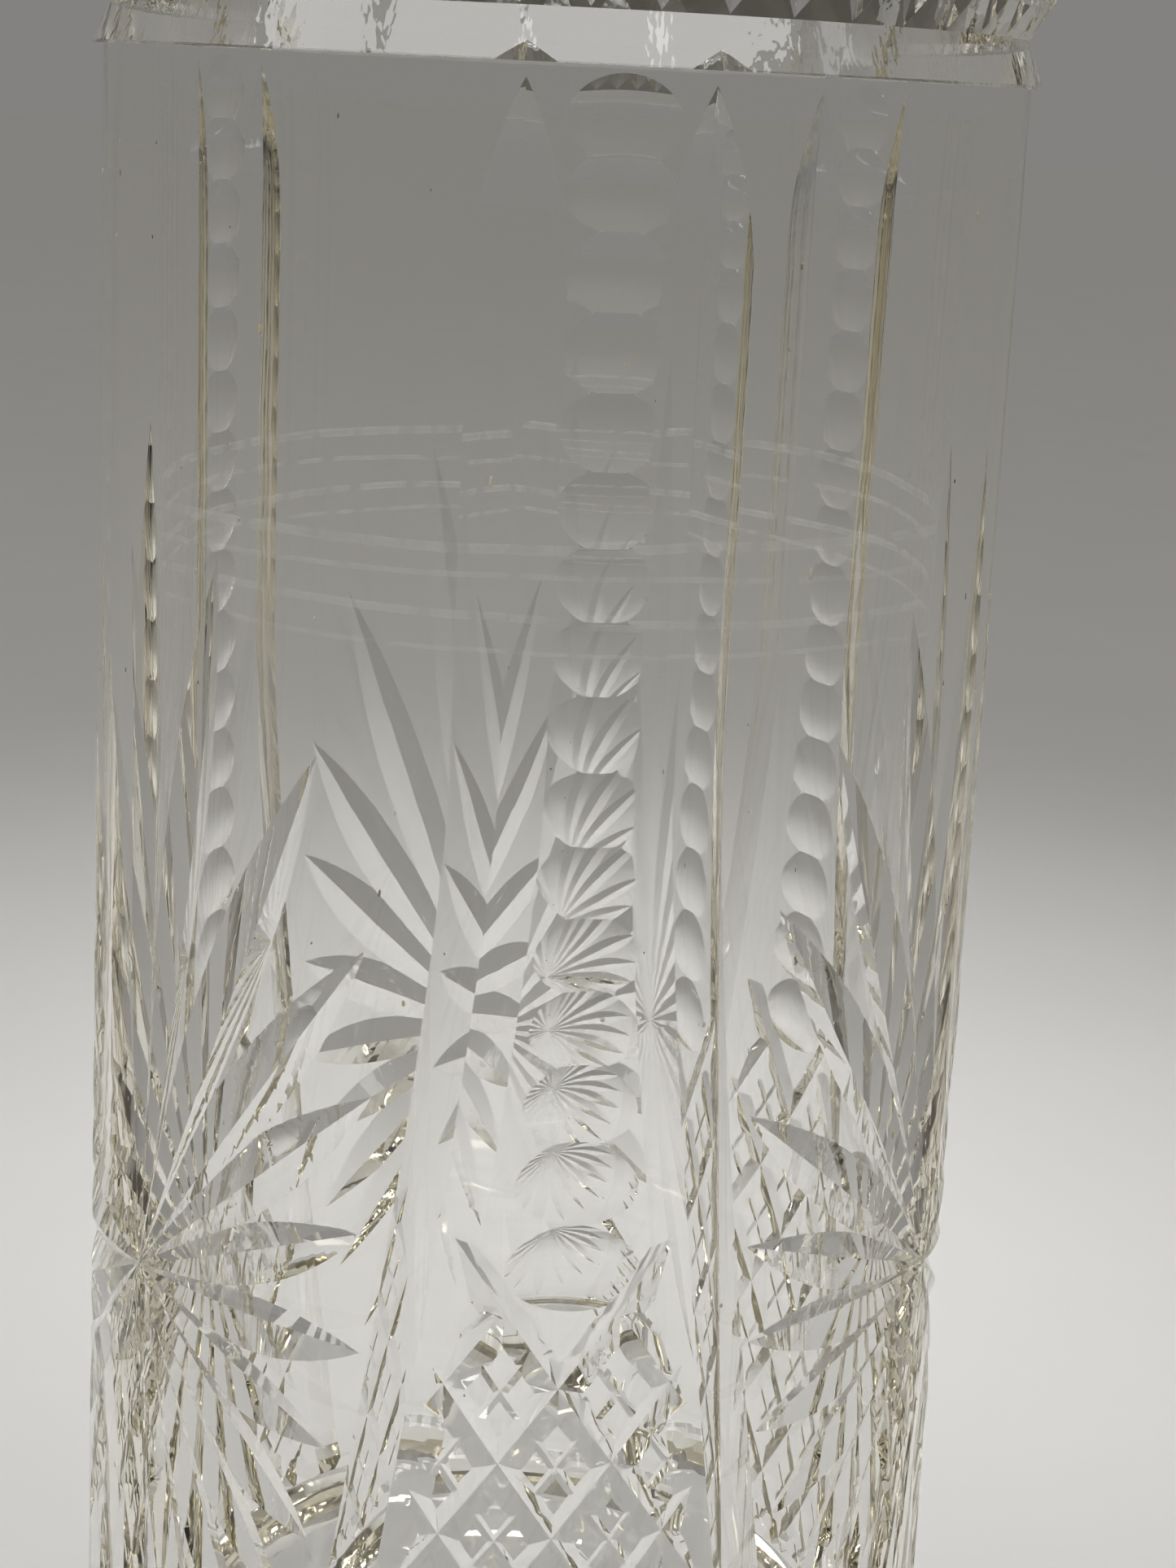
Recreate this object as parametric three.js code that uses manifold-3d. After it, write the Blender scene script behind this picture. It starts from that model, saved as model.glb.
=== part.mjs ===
// A tall cut crystal vase, in millimetres, +Z up, standing on the origin: one piece of thick glass.
// A turned blank is cut with V wheels (long grooves, star rays, a diamond lattice, a foot mitre, rim
// notches) and with a round wheel (columns of overlapping thumbprints).
import * as THREE from "three";
import { mergeVertices } from "three/addons/utils/BufferGeometryUtils.js";
import Module from "manifold-3d";

const wasm = await Module();
wasm.setup();
const { Manifold, Mesh } = wasm;

// The blank
const VASE_HEIGHT = 250;
const BODY_RADIUS = 55;
const FOOT_FLARE = 2.4;
const WALL = 6.5;
const BASE_THICKNESS = 22;
const BORE_CORNER_RADIUS = 10;
const BORE_CORNER_STEPS = 3;
const FOOT_CHAMFER = 1.5;
const MOUTH_CHAMFER = 1.2;
const BLANK_SIDES = 36;

// The rim, from the top: a flared lip, a narrow valley, and a conical band that stands proud of the body
const LIP_HEIGHT = 8.4;
const LIP_OVERHANG = 3.9;
const LIP_EDGE = 0.6;
const VALLEY_INSET = 0.7;
const BAND_HEIGHT = 5.4;
const BAND_PROUD = 1.4;
const LIP_NOTCH_COUNT = 48;
const LIP_NOTCH_DEPTH = 1.8;
const LIP_NOTCH_SLOPE = 0.56;

// The cuts repeat round the body, a thumbprint column and then a star
const REPEATS = 3;

// Thumbprints, the lowest ones a little further apart
const PRINT_WIDTH = 11;
const PRINT_DEPTH = 1.25;
const PRINT_PITCH = 8.1;
const PRINT_TOP_GAP = 4.5;
const PRINT_BOTTOM_HEIGHT = 105.9;
const PRINT_STRETCH_POWER = 11;
const PRINT_FACETS = 8;
const PRINT_RINGS = 2;

// Long V grooves, one each side of every column, which spread apart towards the foot
const GROOVE_WIDTH = 8.5;
const GROOVE_SLOPE = 0.4;
const GROOVE_RUNOUT = 24;
const RUNOUT_STATIONS = [0, 0.12, 0.35, 1];
const GROOVE_RISE = 2;
const GROOVE_BEND_HEIGHT = 160;
const GROOVE_BEND_POWER = 1.32;
const GROOVE_SPREAD = 18;
const GROOVE_STEPS = 6;

// The stars: rays from one centre, as angle above the horizontal, length, width; the rest mirror these
const STAR_HEIGHT = 93.2;
const STAR_SLOPE = 0.45;
const STAR_RAYS = [
  [90, 103, 6.4],
  [80.2, 89.2, 6.6],
  [68.5, 76.2, 7],
  [55.8, 61.5, 7.2],
  [39.9, 47.3, 7.4],
  [21.4, 38.2, 7.2],
  [0.7, 35.2, 7.2],
  [-20.5, 34.6, 7],
  [-39.2, 38.5, 7.4],
  [-54, 45, 6],
  [-66, 52, 6],
  [-78, 60, 6],
  [-90, 70, 6],
];
const RAY_WIDEST_AT = 0.6;
const RAY_STATIONS = [0, 0.25, RAY_WIDEST_AT, 1];

// The diamond lattice between the grooves, below the prints
const LATTICE_TOP_HEIGHT = 90.3;
const DIAMOND_WIDTH = 13.1;
const DIAMOND_HEIGHT = 19.1;
const LATTICE_CUT_WIDTH = 4;
const LATTICE_SLOPE = 0.5;
const LATTICE_STEP = 0.5;
const LATTICE_SPAN = 16;

// The mitre that ends the pattern above the plain foot
const FOOT_MITRE_HEIGHT = 20;
const FOOT_MITRE_WIDTH = 4;
const FOOT_MITRE_SLOPE = 0.45;

// How far a cutter stands out of the glass
const CLEAR = 1.2;
// The longest straight edge of a V cutter's mouth, measured round the body
const LONGEST_EDGE = 28;
// How much a cut that ends in the open starts above the surface
const SKIM = 0.04;

const lipBottom = VASE_HEIGHT - LIP_HEIGHT;
const bandBottom = lipBottom - BAND_HEIGHT;
const valleyRadius = BODY_RADIUS - VALLEY_INSET;
const lipRadius = BODY_RADIUS + LIP_OVERHANG;
const boreRadius = BODY_RADIUS - WALL;
const printTop = bandBottom - PRINT_TOP_GAP;
const grooveDepth = (GROOVE_WIDTH / 2) * GROOVE_SLOPE;
const grooveOffset = (PRINT_WIDTH + GROOVE_WIDTH) / 2;
// A V cutter's mouth stands out by more than its straight edges dip towards the round body
const wheelClear = LONGEST_EDGE ** 2 / (8 * BODY_RADIUS);
const rad = THREE.MathUtils.degToRad;

/** A closed three.js geometry as a manifold-3d solid. */
function solidOf(geometry) {
  const bare = geometry.clone();
  bare.deleteAttribute("normal");
  bare.deleteAttribute("uv");
  const merged = mergeVertices(bare, 1e-4);
  return new Manifold(
    new Mesh({
      numProp: 3,
      vertProperties: new Float32Array(merged.attributes.position.array),
      triVerts: new Uint32Array(merged.index.array),
    }),
  );
}

/** A solid turned about the vertical axis from points (radius, height). */
function turned(points, sides) {
  return solidOf(new THREE.LatheGeometry(points, sides).rotateX(Math.PI / 2));
}

/** The radius of the plain skin at height z: it widens evenly from the band down to the foot. */
function skinRadius(z) {
  return BODY_RADIUS + FOOT_FLARE * THREE.MathUtils.clamp(1 - z / bandBottom, 0, 1);
}

/** The point `across` round the body from a column's middle, at height z and depth below the skin. */
function onBody(across, z, depth) {
  const angle = across / BODY_RADIUS;
  const radius = skinRadius(z) - depth;
  return new THREE.Vector3(radius * Math.sin(angle), -radius * Math.cos(angle), z);
}

/**
 * The solid that a V wheel sweeps. Each station is { across, z, depth } on the valley line; slope is the
 * flanks' depth over half width, and clear is how far the cutter stands out of the body.
 */
function wheelCut(stations, slope, clear = wheelClear) {
  const positions = [];
  stations.forEach(({ across, z, depth }, i) => {
    const before = stations[Math.max(i - 1, 0)];
    const after = stations[Math.min(i + 1, stations.length - 1)];
    const along = new THREE.Vector2(after.across - before.across, after.z - before.z).normalize();
    const half = (depth + clear) / slope;
    positions.push(
      ...onBody(across, z, depth),
      ...onBody(across - along.y * half, z + along.x * half, -clear),
      ...onBody(across + along.y * half, z - along.x * half, -clear),
    );
  });
  const index = [0, 2, 1];
  for (let ring = 0; ring < stations.length - 1; ring += 1) {
    for (let corner = 0; corner < 3; corner += 1) {
      const a = 3 * ring + corner;
      const b = 3 * ring + ((corner + 1) % 3);
      index.push(a, b, a + 3, b, b + 3, a + 3);
    }
  }
  const last = positions.length / 3 - 3;
  index.push(last, last + 1, last + 2);
  const geometry = new THREE.BufferGeometry();
  geometry.setAttribute("position", new THREE.Float32BufferAttribute(positions, 3));
  geometry.setIndex(index);
  return solidOf(geometry);
}

/** The blank as the glassmaker turns it: thick base, straight bore, banded rim. */
function blank() {
  const corner = Math.min(BORE_CORNER_RADIUS, boreRadius);
  const bore = new THREE.Path()
    .moveTo(boreRadius + MOUTH_CHAMFER, VASE_HEIGHT)
    .lineTo(boreRadius, VASE_HEIGHT - MOUTH_CHAMFER)
    .lineTo(boreRadius, BASE_THICKNESS + corner)
    .absarc(boreRadius - corner, BASE_THICKNESS + corner, corner, 0, -Math.PI / 2, true)
    .lineTo(0, BASE_THICKNESS);
  const outside = [
    [0, 0],
    [skinRadius(0) - FOOT_CHAMFER, 0],
    [skinRadius(FOOT_CHAMFER), FOOT_CHAMFER],
    [BODY_RADIUS, bandBottom],
    [BODY_RADIUS + BAND_PROUD, bandBottom],
    [valleyRadius, lipBottom],
    [lipRadius, VASE_HEIGHT - LIP_EDGE],
    [lipRadius - LIP_EDGE, VASE_HEIGHT],
  ].map(([radius, z]) => new THREE.Vector2(radius, z));
  return turned([...outside, ...bore.getPoints(BORE_CORNER_STEPS)], BLANK_SIDES);
}

/** How far a groove's valley lies from its column's middle at height z. */
function grooveAcross(z) {
  const fall = Math.max(GROOVE_BEND_HEIGHT - z, 0) / (GROOVE_BEND_HEIGHT - FOOT_MITRE_HEIGHT);
  return grooveOffset + GROOVE_SPREAD * fall ** GROOVE_BEND_POWER;
}

/** The pair of long grooves beside a column, which run out into the band at the top. */
function grooves() {
  const top = bandBottom + GROOVE_RISE;
  const proudAtTop = BAND_PROUD - (GROOVE_RISE * (BAND_PROUD + VALLEY_INSET)) / BAND_HEIGHT;
  const heights = RUNOUT_STATIONS.map((share) => top - GROOVE_RUNOUT * share);
  const plain = heights.at(-1);
  for (let step = 1; step <= GROOVE_STEPS; step += 1) {
    heights.push(plain + ((FOOT_MITRE_HEIGHT - plain) * step) / GROOVE_STEPS);
  }
  const stations = heights.map((z) => {
    const away = Math.max(1 - (top - z) / GROOVE_RUNOUT, 0);
    const depth = grooveDepth - (grooveDepth + proudAtTop) * away ** 2;
    return { z, across: grooveAcross(z), depth };
  });
  const right = wheelCut(stations, GROOVE_SLOPE, BAND_PROUD + CLEAR);
  return [right, right.mirror([1, 0, 0])];
}

/** One column of overlapping round cuts, from under the band, which they leave whole, down to the lattice. */
function thumbprints() {
  const halfWidth = PRINT_WIDTH / 2;
  const cutDepth = PRINT_DEPTH - halfWidth ** 2 / (2 * BODY_RADIUS);
  const radius = (halfWidth ** 2 + cutDepth ** 2) / (2 * cutDepth);
  const reach = Math.acos(1 - (PRINT_DEPTH + CLEAR) / radius);
  const dish = [];
  for (let ring = 0; ring <= PRINT_RINGS; ring += 1) {
    const angle = (reach * ring) / PRINT_RINGS;
    dish.push(new THREE.Vector2(radius * Math.sin(angle), -radius * Math.cos(angle)));
  }
  dish.push(new THREE.Vector2(0, dish.at(-1).y));
  const column = printTop - PRINT_BOTTOM_HEIGHT;
  const gaps = Math.max(Math.floor(column / PRINT_PITCH), 1);
  const stretch = column - gaps * PRINT_PITCH;
  return Array.from({ length: gaps + 1 }, (_, i) => {
    const z = printTop - PRINT_PITCH * i - stretch * (i / gaps) ** PRINT_STRETCH_POWER;
    const centre = -(skinRadius(z) - PRINT_DEPTH + radius);
    const wheel = new THREE.LatheGeometry(dish, PRINT_FACETS).rotateX(Math.PI).translate(0, centre, z);
    return solidOf(wheel).trimByPlane([0, 0, -1], -bandBottom);
  });
}

/** How deep a ray is at share t of its length, as a share of its deepest. */
function rayDepth(t) {
  const away = t < RAY_WIDEST_AT ? 1 - t / RAY_WIDEST_AT : (t - RAY_WIDEST_AT) / (1 - RAY_WIDEST_AT);
  return 1 - away ** 2;
}

/** One star of pointed rays, half a repeat round from a column. */
function star() {
  const middle = (Math.PI / REPEATS) * BODY_RADIUS;
  const highest = bandBottom - STAR_HEIGHT;
  const lowest = STAR_HEIGHT - FOOT_MITRE_HEIGHT;
  const cuts = [];
  for (const [angle, length, width] of STAR_RAYS) {
    const rise = Math.sin(rad(angle));
    const reach = rise > 0 ? Math.min(length, highest / rise) : Math.min(length, lowest / -rise);
    for (const side of Math.abs(angle) === 90 ? [1] : [1, -1]) {
      const stations = RAY_STATIONS.map((t) => ({
        across: middle + side * t * reach * Math.cos(rad(angle)),
        z: STAR_HEIGHT + t * reach * rise,
        depth: (width / 2) * STAR_SLOPE * rayDepth(t) - SKIM,
      }));
      cuts.push(wheelCut(stations, STAR_SLOPE));
    }
  }
  return cuts;
}

/** Diamonds between a pair of grooves, left by two families of slanting cuts. */
function lattice() {
  const steep = DIAMOND_HEIGHT / DIAMOND_WIDTH;
  const lowest = FOOT_MITRE_HEIGHT - steep * grooveAcross(FOOT_MITRE_HEIGHT);
  const rows = Math.ceil((LATTICE_TOP_HEIGHT - lowest) / DIAMOND_HEIGHT);
  const cuts = [];
  for (let row = -1; row < rows; row += 1) {
    // A cut follows z = level + steep * across, from the groove on one side to the other, or to the mitre.
    const level = LATTICE_TOP_HEIGHT - DIAMOND_HEIGHT * row;
    const onLine = (across) => level + steep * across;
    let start = row < 0 ? (DIAMOND_WIDTH * row) / 2 : 0;
    while (row >= 0 && start < grooveAcross(onLine(start))) {
      start += LATTICE_STEP;
    }
    let end = start;
    while (-end < grooveAcross(onLine(end)) && onLine(end) > FOOT_MITRE_HEIGHT) {
      end -= LATTICE_STEP;
    }
    const steps = Math.max(Math.ceil((start - end) / LATTICE_SPAN), 1);
    const stations = Array.from({ length: steps + 1 }, (_, i) => {
      const across = start + ((end - start) * i) / steps;
      return { across, z: onLine(across), depth: (LATTICE_CUT_WIDTH / 2) * LATTICE_SLOPE };
    });
    const cut = wheelCut(stations, LATTICE_SLOPE);
    cuts.push(cut, cut.mirror([1, 0, 0]));
  }
  return cuts;
}

/** The V mitre round the foot. */
function footMitre() {
  const half = FOOT_MITRE_WIDTH / 2;
  const depth = half * FOOT_MITRE_SLOPE;
  const skin = skinRadius(FOOT_MITRE_HEIGHT);
  const outer = skin + CLEAR;
  const mouth = half + CLEAR / FOOT_MITRE_SLOPE;
  const section = [
    [outer, FOOT_MITRE_HEIGHT - mouth],
    [outer, FOOT_MITRE_HEIGHT + mouth],
    [skin - depth, FOOT_MITRE_HEIGHT],
    [outer, FOOT_MITRE_HEIGHT - mouth],
  ].map(([radius, z]) => new THREE.Vector2(radius, z));
  return turned(section, BLANK_SIDES);
}

/** The notches that make the lip's outside a row of teeth. */
function lipNotches() {
  const clear = LIP_OVERHANG + CLEAR;
  const stations = [
    { across: 0, z: lipBottom, depth: VALLEY_INSET - SKIM },
    { across: 0, z: VASE_HEIGHT + CLEAR, depth: LIP_NOTCH_DEPTH - LIP_OVERHANG },
  ];
  const notch = wheelCut(stations, LIP_NOTCH_SLOPE, clear);
  const pitch = 360 / LIP_NOTCH_COUNT;
  return Array.from({ length: LIP_NOTCH_COUNT }, (_, i) => notch.rotate([0, 0, pitch * (i + 0.5)]));
}

/** The finished glass: the blank less every cut. */
function cutGlass() {
  const panel = Manifold.union([...grooves(), ...thumbprints(), ...star(), ...lattice()]);
  const panels = Array.from({ length: REPEATS }, (_, i) => panel.rotate([0, 0, (360 * i) / REPEATS]));
  return blank().subtract(Manifold.union([...panels, footMitre(), ...lipNotches()]));
}

const made = cutGlass().getMesh();
const geometry = new THREE.BufferGeometry();
geometry.setAttribute("position", new THREE.Float32BufferAttribute(made.vertProperties, 3));
geometry.setIndex(new THREE.BufferAttribute(made.triVerts, 1));

const crystal = new THREE.MeshStandardMaterial({
  color: 0xe8e6df,
  roughness: 0.05,
  metalness: 0,
  transparent: true,
  opacity: 0.35,
  flatShading: true,
});
const body = new THREE.Mesh(geometry, crystal);
body.name = "vase_body";

const vase = new THREE.Group();
vase.add(body);

export default vase;
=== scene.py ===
"""A tall cut crystal vase: one piece of thick glass, turned, then cut with V wheels and a round wheel.

The blank is a surface of revolution. Every cut is a closed solid swept along the body, and each is taken
out of the blank in turn. All sizes are in millimetres and become metres when a mesh is made.
"""

from __future__ import annotations

import logging
import math
from dataclasses import dataclass, field
from enum import Enum
from typing import Any, Iterable, Protocol, Sequence

import bpy
import numpy as np
from mathutils import Matrix, Vector
from numpy.typing import NDArray


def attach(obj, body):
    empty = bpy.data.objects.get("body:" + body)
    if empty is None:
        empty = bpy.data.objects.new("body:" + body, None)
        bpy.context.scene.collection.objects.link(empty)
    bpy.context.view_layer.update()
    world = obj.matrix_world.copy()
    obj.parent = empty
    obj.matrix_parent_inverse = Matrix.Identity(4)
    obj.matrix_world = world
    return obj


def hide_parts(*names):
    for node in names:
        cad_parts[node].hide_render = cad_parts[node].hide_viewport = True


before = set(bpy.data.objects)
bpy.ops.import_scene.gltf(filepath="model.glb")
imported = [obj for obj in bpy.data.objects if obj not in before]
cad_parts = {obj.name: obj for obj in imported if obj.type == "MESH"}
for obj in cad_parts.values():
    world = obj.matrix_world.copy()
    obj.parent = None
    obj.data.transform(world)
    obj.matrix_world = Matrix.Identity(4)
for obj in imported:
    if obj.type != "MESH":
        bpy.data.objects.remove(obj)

logging.basicConfig(level=logging.INFO, format="%(message)s")
log = logging.getLogger("crystal_vase")

Array = NDArray[np.float64]
MM = 0.001
NODE = "vase_body"
BODY = "root"
REPEATS = 3
# How far a cutter stands out of the glass, in millimetres
CLEAR = 1.2
# A length below this counts as nothing
TINY = 1e-12


# ---------------------------------------------------------------- surfaces


@dataclass(frozen=True)
class Surface:
    """A closed surface: points (n, 3) in millimetres and triangles (m, 3) facing out."""

    points: Array
    faces: NDArray[np.int64]

    def turned(self, degrees: float) -> Surface:
        """Turn this surface about the vase's axis.

        Args:
            degrees: The turn, anticlockwise seen from above.

        Returns:
            The turned copy.
        """
        c, s = math.cos(math.radians(degrees)), math.sin(math.radians(degrees))
        turn = np.array([[c, s, 0.0], [-s, c, 0.0], [0.0, 0.0, 1.0]])
        return Surface(self.points @ turn, self.faces)

    def mirrored(self) -> Surface:
        """This surface mirrored left to right, with its faces still pointing out."""
        return Surface(self.points * np.array([-1.0, 1.0, 1.0]), self.faces[:, ::-1])

    def repeated(self, count: int, first: float = 0.0) -> Surface:
        """Copies at equal steps round the axis, the first of them turned by `first` degrees."""
        return joined(self.turned(first + 360.0 * i / count) for i in range(count))


def joined(surfaces: Iterable[Surface]) -> Surface:
    """Put several surfaces into one and renumber their faces.

    Args:
        surfaces: The surfaces, in order.

    Returns:
        One surface that holds them all.
    """
    parts = list(surfaces)
    starts = np.cumsum([0] + [len(part.points) for part in parts[:-1]])
    return Surface(
        np.concatenate([part.points for part in parts]),
        np.concatenate([part.faces + start for part, start in zip(parts, starts)]),
    )


def loft(sections: Array) -> Surface:
    """Join closed sections one after another and cap both ends.

    The surface is P(i, j) = corner j of section i, and each quad is split along the same diagonal.

    Args:
        sections: (rows, corners, 3), each section a convex loop.

    Returns:
        The closed surface.
    """
    rows, corners, _ = sections.shape
    ring = np.arange(rows - 1)[:, None] * corners
    here = np.arange(corners)[None, :]
    after = (here + 1) % corners
    a, b = ring + here, ring + after
    c, d = a + corners, b + corners
    walls = np.stack([np.stack([a, b, c], -1), np.stack([b, d, c], -1)], 2).reshape(-1, 3)
    fan = np.arange(1, corners - 1)
    start = np.stack([np.zeros_like(fan), fan + 1, fan], -1)
    end = np.stack([np.zeros_like(fan), fan, fan + 1], -1) + (rows - 1) * corners
    return Surface(sections.reshape(-1, 3), np.concatenate([walls, start, end]))


def revolve(profile: Array, sides: int) -> Surface:
    """Turn an open profile of (radius, height) that starts and ends on the axis, or a closed one off it.

    The surface is P(u, v) = (r(v) sin u, -r(v) cos u, z(v)), with one vertex at each pole.

    Args:
        profile: (rows, 2), anticlockwise seen with the radius to the right.
        sides: How many steps round.

    Returns:
        The closed surface.
    """
    polar = profile[0, 0] < TINY
    rings = profile[1:-1] if polar else profile[:-1]
    angle = np.linspace(0.0, 2.0 * math.pi, sides, endpoint=False)
    radius, height = rings[:, 0, None], np.repeat(rings[:, 1, None], sides, axis=1)
    points = np.stack([radius * np.sin(angle), -radius * np.cos(angle), height], -1).reshape(-1, 3)
    rows = len(rings) if not polar else len(rings) - 1
    low = np.arange(rows)[:, None] * sides
    high = (low + sides) % (len(rings) * sides)
    here = np.arange(sides)[None, :]
    after = (here + 1) % sides
    a, b, c, d = low + here, low + after, high + here, high + after
    faces = np.stack([np.stack([a, b, c], -1), np.stack([b, d, c], -1)], 2).reshape(-1, 3)
    if not polar:
        return Surface(points, faces)
    poles = np.array([[0.0, 0.0, profile[0, 1]], [0.0, 0.0, profile[-1, 1]]])
    first, last = len(points), len(points) + 1
    here, after = here[0], after[0]
    top = (len(rings) - 1) * sides
    foot_fan = np.stack([np.full(sides, first), after, here], -1)
    bore_fan = np.stack([np.full(sides, last), top + here, top + after], -1)
    return Surface(np.concatenate([points, poles]), np.concatenate([faces, foot_fan, bore_fan]))


def mesh_object(name: str, surface: Surface) -> bpy.types.Object:
    """Put a surface into a new object at the origin, in metres.

    Args:
        name: The object's name.
        surface: Its shape in millimetres.

    Returns:
        The object, in the scene.
    """
    mesh = bpy.data.meshes.new(name)
    mesh.vertices.add(len(surface.points))
    mesh.vertices.foreach_set("co", (surface.points * MM).astype(np.float32).ravel())
    count = len(surface.faces)
    mesh.loops.add(3 * count)
    mesh.loops.foreach_set("vertex_index", surface.faces.astype(np.int32).ravel())
    mesh.polygons.add(count)
    mesh.polygons.foreach_set("loop_start", np.arange(0, 3 * count, 3, dtype=np.int32))
    mesh.update(calc_edges=True)
    mesh.validate()
    piece = bpy.data.objects.new(name, mesh)
    bpy.context.scene.collection.objects.link(piece)
    return piece


# ---------------------------------------------------------------- the glass


@dataclass(frozen=True)
class Skin:
    """The plain outside of the body: a cone that widens slightly from the band down to the foot."""

    top_radius: float = 55.0
    foot_flare: float = 2.4
    top: float = 236.2

    def radius(self, z: Array | float) -> Array:
        """The skin's radius at height z."""
        return self.top_radius + self.foot_flare * np.clip(1.0 - np.asarray(z) / self.top, 0.0, 1.0)

    def point(self, across: Array, z: Array, depth: Array | float) -> Array:
        """Lay points on the body, P = (q sin a, -q cos a, z), q = r - depth and a = across / top radius.

        Args:
            across: Distances round the body from a column's middle.
            z: Heights.
            depth: Depths below the skin.

        Returns:
            The points.
        """
        angle = np.asarray(across) / self.top_radius
        radius = self.radius(z) - depth
        return np.stack([radius * np.sin(angle), -radius * np.cos(angle), np.asarray(z) + 0.0 * radius], -1)


@dataclass(frozen=True)
class VWheel:
    """A wheel with a V edge: `slope` is the cut's depth over its half width."""

    slope: float
    clear: float = CLEAR

    def sweep(self, skin: Skin, across: Array, z: Array, depth: Array) -> Surface:
        """The solid the wheel's edge sweeps along a line on the body.

        Each section is a triangle: its point lies on the valley line, and its other two corners stand
        `clear` out of the skin, at a half width of (depth + clear) / slope square to the line.

        Args:
            skin: The surface that the cut lies on.
            across: Distance round the body of each station.
            z: Height of each station.
            depth: Depth of the valley at each station.

        Returns:
            The closed cutter.
        """
        run = np.concatenate([across[1:], across[-1:]]) - np.concatenate([across[:1], across[:-1]])
        rise = np.concatenate([z[1:], z[-1:]]) - np.concatenate([z[:1], z[:-1]])
        length = np.hypot(run, rise)
        run, rise = run / length, rise / length
        half = (depth + self.clear) / self.slope
        valley = skin.point(across, z, depth)
        left = skin.point(across - rise * half, z + run * half, -self.clear)
        right = skin.point(across + rise * half, z - run * half, -self.clear)
        return loft(np.stack([valley, left, right], 1))


@dataclass(frozen=True)
class Blank:
    """The glass as it is turned: a thick base, a straight bore, and a banded and flared rim."""

    height: float = 250.0
    wall: float = 6.5
    base: float = 22.0
    bore_corner: float = 10.0
    foot_chamfer: float = 1.5
    mouth_round: float = 1.2
    lip_height: float = 8.4
    lip_overhang: float = 3.9
    lip_edge: float = 0.6
    valley_inset: float = 0.7
    band_height: float = 5.4
    band_proud: float = 1.4
    arc_points: int = 9
    sides: int = 288
    skin: Skin = field(default_factory=Skin)

    @property
    def bore_radius(self) -> float:
        """The bore's radius."""
        return self.skin.top_radius - self.wall

    @property
    def lip_bottom(self) -> float:
        """The height of the narrow valley under the lip."""
        return self.height - self.lip_height

    def surface(self) -> Surface:
        """Turn the blank: the outside from the foot's middle up, then over the lip and down the bore.

        Its round mouth and its round bore corner are quarter circles.

        Returns:
            The closed blank.
        """
        skin, bore = self.skin, self.bore_radius
        lip = skin.top_radius + self.lip_overhang
        outside = np.array(
            [
                [0.0, 0.0],
                [float(skin.radius(0.0)) - self.foot_chamfer, 0.0],
                [float(skin.radius(self.foot_chamfer)), self.foot_chamfer],
                [skin.top_radius, skin.top],
                [skin.top_radius + self.band_proud, skin.top],
                [skin.top_radius - self.valley_inset, self.lip_bottom],
                [lip, self.height - self.lip_edge],
                [lip - self.lip_edge, self.height],
            ]
        )
        turn = np.linspace(0.0, 0.5 * math.pi, self.arc_points)
        mouth = np.stack(
            [
                bore + self.mouth_round * (1.0 - np.sin(turn)),
                self.height - self.mouth_round * (1.0 - np.cos(turn)),
            ],
            -1,
        )
        corner = np.stack(
            [
                bore - self.bore_corner * (1.0 - np.cos(turn)),
                self.base + self.bore_corner * (1.0 - np.sin(turn)),
            ],
            -1,
        )
        return revolve(np.concatenate([outside, mouth, corner, [[0.0, self.base]]]), self.sides)


@dataclass(frozen=True)
class Grooves:
    """The long V grooves, one each side of every column, which spread apart towards the foot."""

    width: float = 8.5
    slope: float = 0.4
    offset: float = 9.75
    runout: float = 24.0
    rise: float = 2.0
    bend_height: float = 160.0
    bend_power: float = 1.32
    spread: float = 19.0
    foot: float = 20.0
    spread_foot: float = 14.0
    runout_stations: int = 16
    stations: int = 64

    def across(self, z: Array) -> Array:
        """How far a groove's valley lies from its column's middle: straight, then a power curve outwards."""
        fall = np.clip(self.bend_height - z, 0.0, None) / (self.bend_height - self.spread_foot)
        return self.offset + self.spread * fall**self.bend_power

    def cutters(self, blank: Blank) -> list[Surface]:
        """Sweep one cutter for the right grooves and one for the left.

        The valley's depth is half the width times the slope, and near the top it falls away as the square
        of the distance, as a round wheel's does, until it leaves the band.

        Args:
            blank: The glass to cut.

        Returns:
            The two cutters, each of three copies.
        """
        top = blank.skin.top + self.rise
        z = np.concatenate(
            [
                top - self.runout * np.arange(self.runout_stations) / self.runout_stations,
                np.linspace(top - self.runout, self.foot, self.stations),
            ]
        )
        proud = blank.band_proud - self.rise * (blank.band_proud + blank.valley_inset) / blank.band_height
        full = 0.5 * self.width * self.slope
        away = np.clip(1.0 - (top - z) / self.runout, 0.0, None)
        depth = full - (full + proud) * away**2
        right = VWheel(self.slope, blank.band_proud + CLEAR).sweep(blank.skin, self.across(z), z, depth)
        return [right.repeated(REPEATS), right.mirrored().repeated(REPEATS)]


@dataclass(frozen=True)
class Print:
    """One thumbprint: where its deepest point lies, and its width, height and depth on the skin.

    `splay` is how much wider than its middle it is at its top, and narrower at its bottom, as a share.
    """

    across: float
    z: float
    wide: float
    tall: float
    deep: float
    splay: float


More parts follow.
